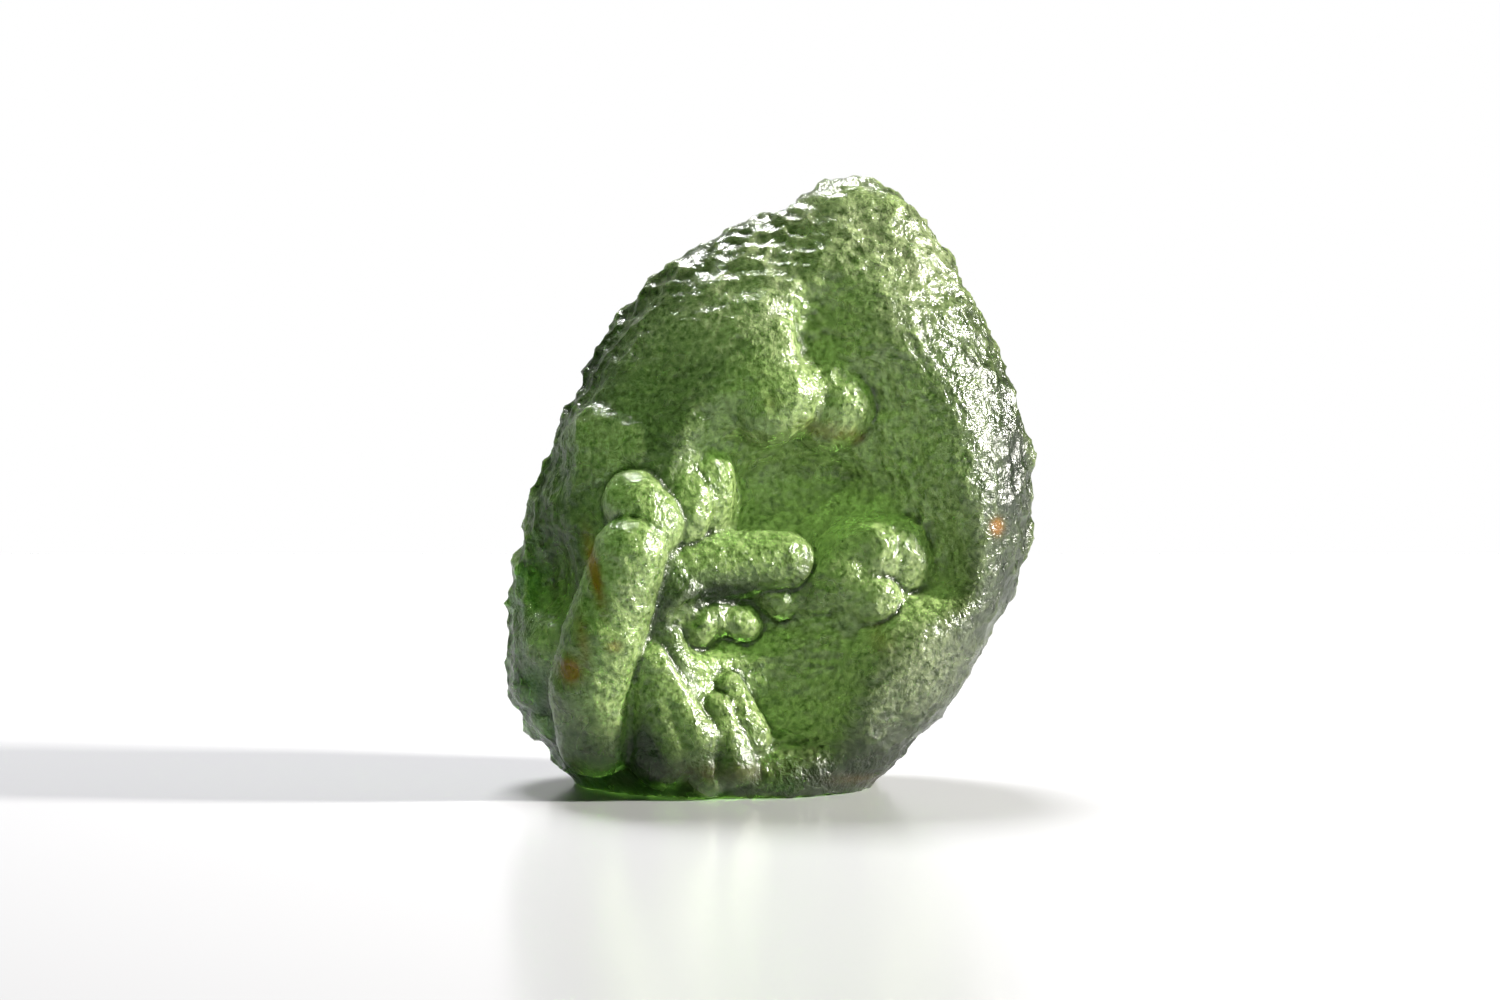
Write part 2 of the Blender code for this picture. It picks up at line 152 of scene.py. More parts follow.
# Etching: cups, scales and grains, each as wide as a cell of a lattice. A share of their depth that
# goes from 0 to 1 between the two values of Y in fade, but is never below least, moves the skin.
etching = {
    "fade": (-3.2, 0.2),
    "cups": {"width": 2.3, "height": 3.0, "depth": 0.5, "least": 0.15},
    "scales": {"width": 0.85, "stretch": 1.7, "depth": 0.42, "least": 0.2},
    "grains": {"width": 0.4, "stretch": 1.4, "depth": 0.12, "least": 0.65},
    "farthest": 9.0,
    "rimHeight": 0.8,
    "skinHeight": 0.3,
    "centreFrom": 0.1,
    "centreRange": 0.8,
    "chanceTurns": ((127.1, 269.5, 113.5), (311.7, 183.3, 271.9), (74.7, 246.1, 124.6)),
    "chanceGain": 43758.5453,
    "stretchReach": 9.0,
    "stretchLeast": 0.05,
}

surfaceGrid = {
    "steps": 124,
    "frontShare": 0.3,
    "startReach": (8.5, 6.0, 9.5),
    "eggRounds": 16,
    "longestEggStep": 3.0,
    "standOff": 3.0,
    "stepsInward": 44,
    "gapShare": 0.85,
    "closeEnough": 0.01,
    "relaxingRounds": 16,
    "longestStep": 0.25,
    "slopeStep": 0.01,
    "leastSteepness": 0.2,
}


def smoothMin(a, b, width):
    # the lower of two distances, rounded off where they are within a width of each other
    share = np.clip(0.5 + 0.5 * (b - a) / width, 0.0, 1.0)
    return b + (a - b) * share - width * share * (1.0 - share)


def outlineReach():
    # the outline's reach from the middle at even angles: even in angle between the outline's points,
    # then averaged along it with a bell of weights
    middleX, _, middleZ = stoneShape["middle"]
    fromMiddle = np.array(stoneShape["outline"]) - (middleX, middleZ)
    angles = np.arctan2(fromMiddle[:, 1], fromMiddle[:, 0])
    reaches = np.hypot(fromMiddle[:, 0], fromMiddle[:, 1])
    steps = np.linspace(-math.pi, math.pi, stoneShape["outlineSteps"], endpoint=False)
    reach = np.interp(steps, angles, reaches, period=2 * math.pi)
    rounding = stoneShape["outlineRounding"]
    weights = np.hanning(2 * rounding + 3)[1:-1]
    around = np.concatenate([reach[-rounding:], reach, reach[:rounding]])
    return steps, np.convolve(around, weights / weights.sum(), "valid")


outlineAngles, outlineReaches = outlineReach()


def eggDistance(points):
    # ratio^n = (outward / outline's reach)^n + (depth / front or back reach)^n, which is 1 on the
    # plain stone, and the distance is the length of (outward, depth) * (1 - 1 / ratio)
    heights, fullness = stoneShape["heights"], stoneShape["fullness"]
    across = points[:, 0] - stoneShape["middle"][0]
    up = points[:, 2] - stoneShape["middle"][2]
    deep = points[:, 1] - np.interp(points[:, 2], heights, stoneShape["rimDepths"])
    reach = np.interp(np.arctan2(up, across), outlineAngles, outlineReaches, period=2 * math.pi)
    front = np.interp(points[:, 2], heights, stoneShape["frontReaches"])
    back = np.interp(points[:, 2], heights, stoneShape["backReaches"])
    outward = np.hypot(across, up)
    depthReach = np.where(deep < 0, front, back)
    ratio = (outward / reach) ** fullness + (np.abs(deep) / depthReach) ** fullness
    ratio = np.maximum(ratio ** (1 / fullness), stoneShape["leastRatio"])
    return np.hypot(outward, deep) * (1 - 1 / ratio)


def axesOf(tilt, lift):
    # the three directions of a shape that is turned in the front view and lifted at its side
    turn, rise = math.radians(tilt), math.radians(lift)
    side = np.array([math.cos(turn), 0.0, math.sin(turn)])
    back = np.array([0.0, 1.0, 0.0])
    along = np.array([-math.sin(turn), 0.0, math.cos(turn)])
    forward = math.cos(rise) * side - math.sin(rise) * back
    return np.array([forward, math.sin(rise) * side + math.cos(rise) * back, along])


def ellipsoidDistance(away, scaled, fullness):
    # ratio = (sum of |offset / half size|^n)^(1/n), and the distance is |offset| * (1 - 1 / ratio)
    ratio = (np.abs(scaled) ** fullness).sum(axis=1) ** (1 / fullness)
    return np.linalg.norm(away, axis=1) * (1 - 1 / np.maximum(ratio, stoneShape["leastRatio"]))


def rodDistance(points, start, startRadius, end, endRadius):
    # the distance to the nearest point of a line, less a radius that changes evenly along it
    axis = np.array(end) - start
    along = np.clip((points - start) @ axis / (axis @ axis), 0.0, 1.0)
    nearest = start + along[:, None] * axis
    radius = startRadius + (endRadius - startRadius) * along
    return np.linalg.norm(points - nearest, axis=1) - radius


def closeTo(points, centre, reach):
    # which points lie nearer to the centre than the reach; a shape is worked out for these alone
    return np.nonzero(((points - np.array(centre)) ** 2).sum(axis=1) < reach * reach)[0]


def blendEllipsoids(distance, points, ellipsoids, width, added):
    # adds ellipsoids to the stone, or takes them away, with rounded meeting lines of that width
    sign = 1.0 if added else -1.0
    for centre, halfSizes, tilt in ellipsoids.values():
        near = closeTo(points, centre, max(halfSizes) + 2 * width + stoneShape["blendMargin"])
        away = points[near] - centre
        shape = ellipsoidDistance(away, away @ axesOf(tilt, 0).T / halfSizes, 2.0)
        distance[near] = sign * smoothMin(sign * distance[near], shape, width)


def blendLobes(distance, points):
    # adds the lobes, each with a sharp crease at its free edge and a soft one behind it: the width of
    # the meeting line is crease + softening * a smooth step of the place from free edge to back
    crease, softening = stoneShape["crease"], stoneShape["softening"]
    for centre, halfSizes, freeEdge, lift in lobes.values():
        near = closeTo(points, centre, max(halfSizes) + 1.5 * softening)
        away = points[near] - centre
        scaled = away @ axesOf(freeEdge, lift).T / halfSizes
        behind = np.clip(stoneShape["softStart"] - stoneShape["softSlope"] * scaled[:, 0], 0.0, 1.0)
        width = crease + softening * behind * behind * (3.0 - 2.0 * behind)
        shape = ellipsoidDistance(away, scaled, stoneShape["lobeFullness"])
        distance[near] = smoothMin(distance[near], shape, width)


def blendRods(distance, points, someRods, width, added):
    # adds rods to the stone, or takes them away, as with the ellipsoids
    sign = 1.0 if added else -1.0
    for start, startRadius, end, endRadius in someRods:
        middle = (np.array(start) + end) / 2
        thickest = max(startRadius, endRadius)
        reach = math.dist(start, end) / 2 + thickest + 2 * width + stoneShape["blendMargin"]
        near = closeTo(points, middle, reach)
        shape = rodDistance(points[near], np.array(start), startRadius, np.array(end), endRadius)
        distance[near] = sign * smoothMin(sign * distance[near], shape, width)


def slope(distance, points):
    # the direction of steepest rise, and the steepness, from a small step along each axis
    step = surfaceGrid["slopeStep"]
    here = distance(points)
    rise = [distance(points + move) - here for move in step * np.eye(3)]
    gradient = np.stack(rise, axis=1) / step
    steepness = np.maximum(np.linalg.norm(gradient, axis=1), surfaceGrid["leastSteepness"])
    return gradient / steepness[:, None], steepness, here


def ontoSurface(distance, points, longest):
    # each point moved along the slope towards where the distance is zero
    normals, steepness, here = slope(distance, points)
    return points - np.clip(here / steepness, -longest, longest)[:, None] * normals


def ontoEgg(directions, reach):
    # points that start at this reach from the middle, moved onto the plain egg
    points = np.array(stoneShape["middle"]) + reach * directions
    for _ in range(surfaceGrid["eggRounds"]):
        points = ontoSurface(eggDistance, points, surfaceGrid["longestEggStep"])
    return points


def spreadDirections(count, seed):
    # a spiral of even steps in height, turned by the golden angle, each direction a little off it
    chance = np.random.default_rng(seed)
    number = np.arange(count) + 0.5
    up = 1 - 2 * number / count
    turn = number * math.pi * (1 + math.sqrt(5))
    level = np.sqrt(1 - up * up)
    directions = np.stack([level * np.cos(turn), level * np.sin(turn), up], axis=1)
    jitter = furrows["jitter"]
    directions += chance.uniform(-jitter, jitter, directions.shape) * math.sqrt(4 / count)
    return directions / np.linalg.norm(directions, axis=1, keepdims=True)


def backFurrows():
    # rods laid on the domed back, mostly pointing outwards, each sunk in it by the furrows' depth
    chance = np.random.default_rng(furrows["seed"])
    directions = spreadDirections(furrows["count"], furrows["seed"])
    middles = ontoEgg(directions[directions[:, 1] > furrows["behind"]], furrows["startReach"])
    normals = slope(eggDistance, middles)[0]
    outward = middles - (stoneShape["middle"][0], 0.0, stoneShape["middle"][2])
    outward -= (outward * normals).sum(axis=1, keepdims=True) * normals
    outward /= np.linalg.norm(outward, axis=1, keepdims=True)
    turns = chance.normal(0.0, furrows["spread"], (len(middles), 1))
    along = np.cos(turns) * outward + np.sin(turns) * np.cross(normals, outward)
    lengths = furrows["length"] * chance.uniform(*furrows["lengthRange"], (len(middles), 1))
    radii = furrows["radius"] * chance.uniform(*furrows["radiusRange"], len(middles))
    ends = []
    for side in (-0.5, 0.5):
        end = ontoSurface(eggDistance, middles + side * lengths * along, furrows["longestStep"])
        ends.append(end + slope(eggDistance, end)[0] * (radii - furrows["depth"])[:, None])
    return [(start, radius, end, furrows["taper"] * radius)
            for start, end, radius in zip(ends[0], ends[1], radii)]


furrowRods = backFurrows()


def bareDistance(points):
    # the egg, less its broad hollows, with bulges, furrows and deep hollows
    distance = eggDistance(points)
    broadBlend, crease = stoneShape["broadBlend"], stoneShape["crease"]
    blendEllipsoids(distance, points, broadHollows, broadBlend, added=False)
    blendEllipsoids(distance, points, broadBulges, broadBlend, added=True)
    blendRods(distance, points, furrowRods, crease, added=False)
    blendEllipsoids(distance, points, deepHollows, stoneShape["hollowBlend"], added=False)
    return distance


def stoneDistance(points):
    # the bare stone with its lobes, which stay within their reach of the egg, and with its rods,
    # cut off at the foot
    distance = bareDistance(points)
    blendLobes(distance, points)
    limit = stoneShape["lobeReach"] - eggDistance(points)
    distance = -smoothMin(-distance, limit, stoneShape["lobeReachBlend"])
    blendRods(distance, points, rods.values(), stoneShape["crease"], added=True)
    return np.maximum(distance, -points[:, 2])


def ballGrid(steps):
    # six square patches: on each, the point for the angles a and b is (1, tan a, tan b) made unit
    # length, turned to its side of the ball. Points that patches share are made one.
    angle = np.tan(np.linspace(-math.pi / 4, math.pi / 4, steps + 1))
    u, v = np.meshgrid(angle, angle, indexing="ij")
    one = np.ones_like(u)
    sides = [(one, u, v), (-one, v, u), (v, one, u), (u, -one, v), (u, v, one), (v, u, -one)]
    points = np.concatenate([np.stack(side, axis=-1).reshape(-1, 3) for side in sides])
    row, column = np.meshgrid(np.arange(steps), np.arange(steps), indexing="ij")
    corner = (row * (steps + 1) + column).ravel()
    square = np.stack([corner, corner + steps + 1, corner + steps + 2, corner + 1], axis=1)
    squares = np.concatenate([square + side * (steps + 1) ** 2 for side in range(6)])
    _, first, index = np.unique(np.round(points, 6), axis=0, return_index=True, return_inverse=True)
    directions = points[first] / np.linalg.norm(points[first], axis=1, keepdims=True)
    return directions, index.reshape(-1)[squares]


def neighbourMiddle(values, edges):
    # the mean of each point's neighbours, for one row of numbers a point
    count = np.bincount(edges.ravel(), minlength=len(values))
    total = [
        np.bincount(edges[:, 0], values[edges[:, 1], k], len(values))
        + np.bincount(edges[:, 1], values[edges[:, 0], k], len(values))
        for k in range(values.shape[1])
    ]
    return np.stack(total, axis=1) / count[:, None]


def squareNormals(points, squares):
    # each point's normal: the sum of the cross products of the diagonals of its squares
    a, b, c, d = (points[squares[:, k]] for k in range(4))
    faceNormals = np.cross(c - a, d - b)
    total = np.stack([
        sum(np.bincount(squares[:, k], faceNormals[:, axis], len(points)) for k in range(4))
        for axis in range(3)
    ], axis=1)
    return total / np.linalg.norm(total, axis=1, keepdims=True)


def cupHeights(points, sizes):
    # in a lattice of cells with one jittered centre each: the squared distance to the nearest centre,
    # in cells and up to the rim's height, less the skin's height
    scaled = points / sizes
    cell = np.floor(scaled)
    nearest = np.full(len(points), etching["farthest"])
    for offset in np.ndindex(3, 3, 3):
        corner = cell + np.array(offset) - 1
        turns = corner @ np.array(etching["chanceTurns"])
        chance = np.mod(np.sin(turns) * etching["chanceGain"], 1.0)
        centre = corner + etching["centreFrom"] + etching["centreRange"] * chance
        nearest = np.minimum(nearest, ((scaled - centre) ** 2).sum(axis=1))
    return np.minimum(nearest, etching["rimHeight"]) - etching["skinHeight"]


def alongOutline(points, stretch):
    # X and Z from the middle times (outward / 9 mm + 0.05)^(stretch - 1), so that a cell in them is
    # about that many times as long along the outline as across it
    across = points[:, 0] - stoneShape["middle"][0]
    up = points[:, 2] - stoneShape["middle"][2]
    outward = np.hypot(across, up) / etching["stretchReach"]
    scale = (outward + etching["stretchLeast"]) ** (stretch - 1)
    return np.stack([across * scale, points[:, 1], up * scale], axis=1)


def metPoints(directions):
    # points that start outside the egg and move in along its normals until they meet the stone; the
    # directions lean to the front, where the stone has more to show
    grid = surfaceGrid
    leaning = directions - (0.0, grid["frontShare"], 0.0)
    leaning = leaning / np.linalg.norm(leaning, axis=1, keepdims=True)
    points = ontoEgg(leaning, np.array(grid["startReach"]))
    inward = -slope(eggDistance, points)[0]
    points = points - grid["standOff"] * inward
    coming = np.arange(len(points))
    for _ in range(grid["stepsInward"]):
        gap = stoneDistance(points[coming])
        points[coming] += np.clip(grid["gapShare"] * gap[:, None], 0.0, 1.0) * inward[coming]
        coming = coming[gap > grid["closeEnough"]]
        if not len(coming):
            break
    print("points that met the stone", len(points) - len(coming), "of", len(points))
    return points


def evenedPoints(points, edges):
    # each round moves a point half the way to its neighbours' mean, then back onto the stone
    longest = surfaceGrid["longestStep"]
    for _ in range(surfaceGrid["relaxingRounds"]):
        evened = 0.5 * points + 0.5 * neighbourMiddle(points, edges)
        points = ontoSurface(stoneDistance, evened, longest)
    return ontoSurface(stoneDistance, points, longest)


def etchedPoints(points, squares):
    # each point moved along its normal by depth * share * height, for cups, then scales, then grains
    fadeFrom, fadeTo = etching["fade"]
    fade = (points[:, 1] - fadeFrom) / (fadeTo - fadeFrom)
    for cells in (etching["cups"], etching["scales"], etching["grains"]):
        width = cells["width"]
        if "stretch" in cells:
            height = cupHeights(alongOutline(points, cells["stretch"]), (width, width, width))
        else:
            height = cupHeights(points, (width, width, cells["height"]))
        moved = cells["depth"] * np.clip(fade, cells["least"], 1.0) * height
        points = points + moved[:, None] * squareNormals(points, squares)
    points[:, 2] = np.maximum(points[:, 2], 0.0)
    return points


# Marks of earth on the glass, as seen from the front: middle across and up, half sizes, tilt in
# degrees and strength.
earthSpots = (
    (-5.9, 7.6, 0.2, 1.1, 12, 0.75),
    (-6.3, 5.2, 0.2, 0.8, 10, 0.35),
    (-6.75, 4.15, 0.33, 0.42, 20, 1.0),
    (-5.2, 5.0, 0.25, 0.2, 0, 0.3),
    (2.3, 12.6, 0.8, 0.3, -12, 0.24),
    (3.3, 12.4, 0.3, 0.25, 0, 0.2),
    (0.3, 13.6, 0.4, 0.3, 0, 0.08),
    (8.3, 9.2, 0.2, 0.25, 0, 1.0),
    (4.1, 5.2, 0.35, 0.5, 25, 0.2),
    (-1.2, 0.5, 1.6, 0.3, 0, 0.09),
    (3.4, 0.2, 1.0, 0.2, 0, 0.08),
)
# Where shade is painted into the glass's colour, and where light is painted, given in the same way.
# painted shade: under the cross rod, at the foot, in the left recess, by the fold and along the rims
paintedShadeSpots = (
    (7.3, 16.9, 0.35, 0.9, 35, 0.45),
    (8.9, 10.9, 0.25, 1.2, -8, 0.35),
    (8.6, 7.4, 0.3, 1.5, 12, 0.35),
    (-5.8, 15.3, 4.2, 0.9, 51, 0.85),
    (-7.5, 8.0, 1.1, 3.2, 4, 0.8),
    (-8.7, 3.4, 0.7, 1.2, 0, 0.6),
    (-1.4, 6.85, 2.5, 0.65, 4, 1.0),
    (-7.0, 3.4, 0.7, 2.0, 8, 0.45),
    (-5.9, 1.5, 1.4, 0.8, 0, 0.45),
    (-2.6, 0.5, 4.2, 1.2, 0, 0.8),
    (-4.2, 1.6, 0.6, 1.8, 0, 0.7),
    (3.0, 0.4, 3.0, 1.1, 20, 0.7),
    (8.9, 11.6, 1.1, 4.6, 6, 0.8),
    (6.6, 2.4, 2.8, 0.8, 46, 0.75),
    (7.6, 5.6, 1.2, 2.6, -30, 0.5),
    (1.6, 7.6, 0.35, 1.2, 0, 0.5),
    (-3.2, 5.6, 0.35, 0.9, 30, 0.5),
    (2.0, 10.4, 2.4, 0.9, 0, 0.3),
)
# painted light: on the bosses, the top, the top of the cross rod, the fold's right side and lobes
paintedLightSpots = (
    (-0.5, 17.3, 1.2, 1.8, -12, 1.0),
    (-5.0, 7.4, 0.5, 1.6, 12, 0.7),
    (-1.0, 9.0, 1.8, 0.4, 4, 0.5),
    (5.2, 18.2, 1.6, 2.6, -30, 0.5),
    (-3.0, 16.2, 1.5, 2.2, -40, 0.5),
    (4.0, 7.6, 1.5, 1.7, 0, 0.35),
    (5.4, 4.4, 1.5, 1.8, -30, 0.5),
    (0.9, 15.2, 0.5, 1.5, 40, 0.6),
    (-5.5, 11.8, 0.9, 1.4, 0, 0.6),
    (-7.7, 4.9, 0.6, 0.8, 0, 0.55),
    (5.4, 8.2, 0.25, 0.7, 0, 0.5),
    (2.2, 20.0, 2.4, 1.4, -25, 0.8),
)
skin = {
    "spotRise": 0.096,
    "spotsEnd": 1.5,
    "creaseRounds": 3,
    "creaseGain": 0.45,
    "leastSpacing": 1e-4,
    "outerDepth": 0.8,
    "lobeHeight": 0.3,
}


def spotShares(points, spots):
    # the sum over the spots of strength * exp(-(across / half size)^2 - (up / half size)^2), up to 1,
    # where up is Z + 0.096 Y, the height in a view from a little above; it fades out behind the rim
    up = points[:, 2] + skin["spotRise"] * points[:, 1]
    total = np.zeros(len(points))
    for middleX, middleUp, halfX, halfUp, tilt, strength in spots:
        turn = math.radians(tilt)
        across, above = points[:, 0] - middleX, up - middleUp
        along = math.cos(turn) * across + math.sin(turn) * above
        over = math.cos(turn) * above - math.sin(turn) * across
        total += strength * np.exp(-(along / halfX) ** 2 - (over / halfUp) ** 2)
    return np.minimum(total, 1.0) * np.clip(skin["spotsEnd"] - points[:, 1], 0.0, 1.0)


def creaseShares(points, edges, squares):
    # how far the neighbours' mean stands out, over the mean square of the distances to them, evened
    # out: above 0 in creases and below 0 on ridges
    squared = ((points[edges[:, 0]] - points[edges[:, 1]]) ** 2).sum(axis=1)
    spacing = sum(np.bincount(edges[:, k], squared, len(points)) for k in range(2))
    spacing = spacing / np.bincount(edges.ravel(), minlength=len(points))
    towards = (neighbourMiddle(points, edges) - points) * squareNormals(points, squares)
    hollowness = (towards.sum(axis=1) / np.maximum(spacing, skin["leastSpacing"]))[:, None]
    for _ in range(skin["creaseRounds"]):
        hollowness = 0.5 * hollowness + 0.5 * neighbourMiddle(hollowness, edges)
    return np.clip(skin["creaseGain"] * hollowness[:, 0], -1.0, 1.0)


def makeStone():
    directions, squares = ballGrid(surfaceGrid["steps"])
    sides = np.concatenate([squares[:, [k, (k + 1) % 4]] for k in range(4)])
    edges = np.unique(np.sort(sides, axis=1), axis=0)
    points = etchedPoints(evenedPoints(metPoints(directions), edges), squares)
    mesh = bpy.data.meshes.new("stone")
    mesh.vertices.add(len(points))
    mesh.vertices.foreach_set("co", ((points + stoneShape["shift"]) * mm).ravel())
    mesh.loops.add(4 * len(squares))
    mesh.loops.foreach_set("vertex_index", squares.ravel())
    mesh.polygons.add(len(squares))
    mesh.polygons.foreach_set("loop_start", 4 * np.arange(len(squares)))
    mesh.update(calc_edges=True)
    mesh.shade_smooth()
    shares = {
        # crease drives painted shade in creases and painted highlights on ridges
        "crease": creaseShares(points, edges, squares),
        "outer": np.clip(1.0 + eggDistance(points) / skin["outerDepth"], 0.0, 1.0),  # near the egg
        "lobe": np.clip(bareDistance(points) / skin["lobeHeight"], 0.0, 1.0),  # above the bare stone
        "earth": spotShares(points, earthSpots),
        # deep: where shade is painted
        "deep": spotShares(points, paintedShadeSpots),
        # pale: where light is painted
        "pale": spotShares(points, paintedLightSpots),
    }
    for name, share in shares.items():
        attribute = mesh.attributes.new(name, "FLOAT", "POINT")
        attribute.data.foreach_set("value", share.astype(np.float32))
    stone = bpy.data.objects.new("etched_stone", mesh)
    bpy.context.scene.collection.objects.link(stone)
    return stone


def addNode(tree, kind, **settings):
    node = tree.nodes.new(kind)
    for name, value in settings.items():
        setattr(node, name, value)
    return node


def addMix(tree, share, first, second, blend="MIX"):
    # first where the share is 0 and second where it is 1; each is a colour or another node's output
    node = addNode(tree, "ShaderNodeMix", data_type="RGBA", blend_type=blend)
    for number, value in ((0, share), (6, first), (7, second)):
        if isinstance(value, bpy.types.NodeSocket):
            tree.links.new(value, node.inputs[number])
        else:
            node.inputs[number].default_value = value
    return node.outputs[2]


def addRange(tree, value, numbers):
    # the numbers are the value's own least and most, then what these two become
    node = addNode(tree, "ShaderNodeMapRange")
    for name, number in zip(("From Min", "From Max", "To Min", "To Max"), numbers):
        node.inputs[name].default_value = number
    tree.links.new(value, node.inputs["Value"])
    return node.outputs["Result"]


def addTexture(tree, place, kind, scale, detail=None):
    node = addNode(tree, kind)
    node.inputs["Scale"].default_value = scale
    if detail is not None:
        node.inputs["Detail"].default_value = detail
    tree.links.new(place, node.inputs["Vector"])
    return node


def addBump(tree, height, distance):
    node = addNode(tree, "ShaderNodeBump")
    node.inputs["Distance"].default_value = distance
    tree.links.new(height, node.inputs["Height"])
    return node


# Sizes of patterns are cells to a metre and bumps are in metres. A tint is a colour at the glass's skin,
# some of them painted light and painted shade as marked, and a range holds a share's least and most,
# then what these two become.
look = {
    "bowlTint": (0.56, 0.78, 0.27, 1.0),
    # the outer skin: partly its own glossier, less frosted skin, partly painted shade
    "outerToneAndShade": (0.11, 0.14, 0.085, 1.0),
    "lobeTint": (0.50, 0.68, 0.25, 1.0),
    # painted highlight on convex ridges
    "ridgeHighlightTint": (0.66, 0.84, 0.34, 1.0),
    "ridgeHighlightRange": (0.0, -0.7, 0.0, 0.8),
    # painted shade for the deep zones
    "paintedShadeTint": (0.012, 0.026, 0.006, 1.0),
    "paintedShadeRange": (0.05, 0.9, 0.0, 1.0),
    # painted light for the pale zones
    "paintedLightTint": (0.80, 0.94, 0.50, 1.0),
    "mottleSize": 5200.0,
    "mottleDetail": 4.0,
    "mottleRange": (0.32, 0.68, 0.0, 1.0),
    "mottleDark": (0.22, 0.28, 0.16, 1.0),
    "mottleLight": (1.6, 1.5, 1.6, 1.0),
    # painted shade in creases
    "creaseShadeTint": (0.012, 0.022, 0.006, 1.0),
    "creaseShadeRange": (0.05, 0.65, 0.0, 0.95),
    "earthTint": (0.46, 0.17, 0.004, 1.0),
    "earthRange": (0.0, 0.55, 0.0, 1.0),
    "transmission": 0.78,
    "ior": 1.495,
    "absorbed": (0.38, 0.68, 0.10, 1.0),
    "density": 170.0,
    "patchSize": 900.0,
    "patchDetail": 2.0,
    "roughnessRange": (0.3, 0.7, 0.12, 0.3),
    "shadeSpotRoughness": 0.1,
    "scaleCells": 2400.0,
    "scaleBump": 0.00014,
    "scaleStrengthRange": (0.0, 1.0, 0.8, 0.3),
    "grainSize": 7500.0,
    "grainDetail": 3.0,
    "grainBump": 0.00006,
}


def glassTint(tree, place, share):
    # bowl or outer skin, lobes, painted highlights on ridges, painted shade in the deep zones and
    # painted light in the pale zones, times the mottling, then painted shade in creases, and earth
    mottle = addTexture(tree, place, "ShaderNodeTexNoise", look["mottleSize"], look["mottleDetail"])
    mottling = addMix(tree, addRange(tree, mottle.outputs["Fac"], look["mottleRange"]),
                      look["mottleDark"], look["mottleLight"])
    # the outer skin is darker: partly a glossier, less frosted skin, partly painted shade
    tint = addMix(tree, share["outer"], look["bowlTint"], look["outerToneAndShade"])
    tint = addMix(tree, share["lobe"], tint, look["lobeTint"])
    # painted highlight: ridges, where the crease share is below 0, are lightened
    tint = addMix(tree, addRange(tree, share["crease"], look["ridgeHighlightRange"]), tint, look["ridgeHighlightTint"])
    # painted shade: the deep zones are darkened to a near-black green
    tint = addMix(tree, addRange(tree, share["deep"], look["paintedShadeRange"]), tint, look["paintedShadeTint"])
    # painted light: the pale zones are lightened
    tint = addMix(tree, share["pale"], tint, look["paintedLightTint"])
    tint = addMix(tree, 1.0, tint, mottling, "MULTIPLY")
    # painted shade: creases are darkened to a near-black green
    tint = addMix(tree, addRange(tree, share["crease"], look["creaseShadeRange"]), tint, look["creaseShadeTint"])
    return addMix(tree, addRange(tree, share["earth"], look["earthRange"]), tint, look["earthTint"])


def glassNormal(tree, place, share):
    # the rims of small scales, weaker on the outer skin, with fine grain over them
    cells = addTexture(tree, place, "ShaderNodeTexVoronoi", look["scaleCells"])
    grain = addTexture(tree, place, "ShaderNodeTexNoise", look["grainSize"], look["grainDetail"])
    scales = addBump(tree, cells.outputs["Distance"], look["scaleBump"])
    grains = addBump(tree, grain.outputs["Fac"], look["grainBump"])
    tree.links.new(addRange(tree, share["outer"], look["scaleStrengthRange"]), scales.inputs["Strength"])
    tree.links.new(scales.outputs["Normal"], grains.inputs["Normal"])
    return grains.outputs["Normal"]


def glassRoughness(tree, place, share):
    # glossier and duller patches, and duller again where shade is painted
    patches = addTexture(tree, place, "ShaderNodeTexNoise", look["patchSize"], look["patchDetail"])
    duller = addNode(tree, "ShaderNodeMath", operation="MULTIPLY_ADD")
    tree.links.new(share["deep"], duller.inputs[0])
    duller.inputs[1].default_value = look["shadeSpotRoughness"]
    tree.links.new(addRange(tree, patches.outputs["Fac"], look["roughnessRange"]), duller.inputs[2])
    return duller.outputs["Value"]


def greenGlass():
    material = bpy.data.materials.new("etchedGreenGlass")
    material.use_nodes = True
    tree = material.node_tree
    tree.nodes.clear()
    output = addNode(tree, "ShaderNodeOutputMaterial")
    shader = addNode(tree, "ShaderNodeBsdfPrincipled")
    shader.inputs["Transmission Weight"].default_value = look["transmission"]
    shader.inputs["IOR"].default_value = look["ior"]
    absorption = addNode(tree, "ShaderNodeVolumeAbsorption")
    absorption.inputs["Color"].default_value = look["absorbed"]
    absorption.inputs["Density"].default_value = look["density"]
    place = addNode(tree, "ShaderNodeTexCoord").outputs["Object"]
    share = {name: addNode(tree, "ShaderNodeAttribute", attribute_name=name).outputs["Fac"]
             for name in ("crease", "outer", "lobe", "earth", "deep", "pale")}
    tree.links.new(glassTint(tree, place, share), shader.inputs["Base Color"])
    tree.links.new(glassNormal(tree, place, share), shader.inputs["Normal"])
    tree.links.new(glassRoughness(tree, place, share), shader.inputs["Roughness"])
    tree.links.new(shader.outputs["BSDF"], output.inputs["Surface"])
    tree.links.new(absorption.outputs["Volume"], output.inputs["Volume"])
    return material


stone = makeStone()
stone.data.materials.append(greenGlass())
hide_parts("moldavite")
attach(stone, "root")
print("stone made,", 2 * len(stone.data.polygons), "triangles")

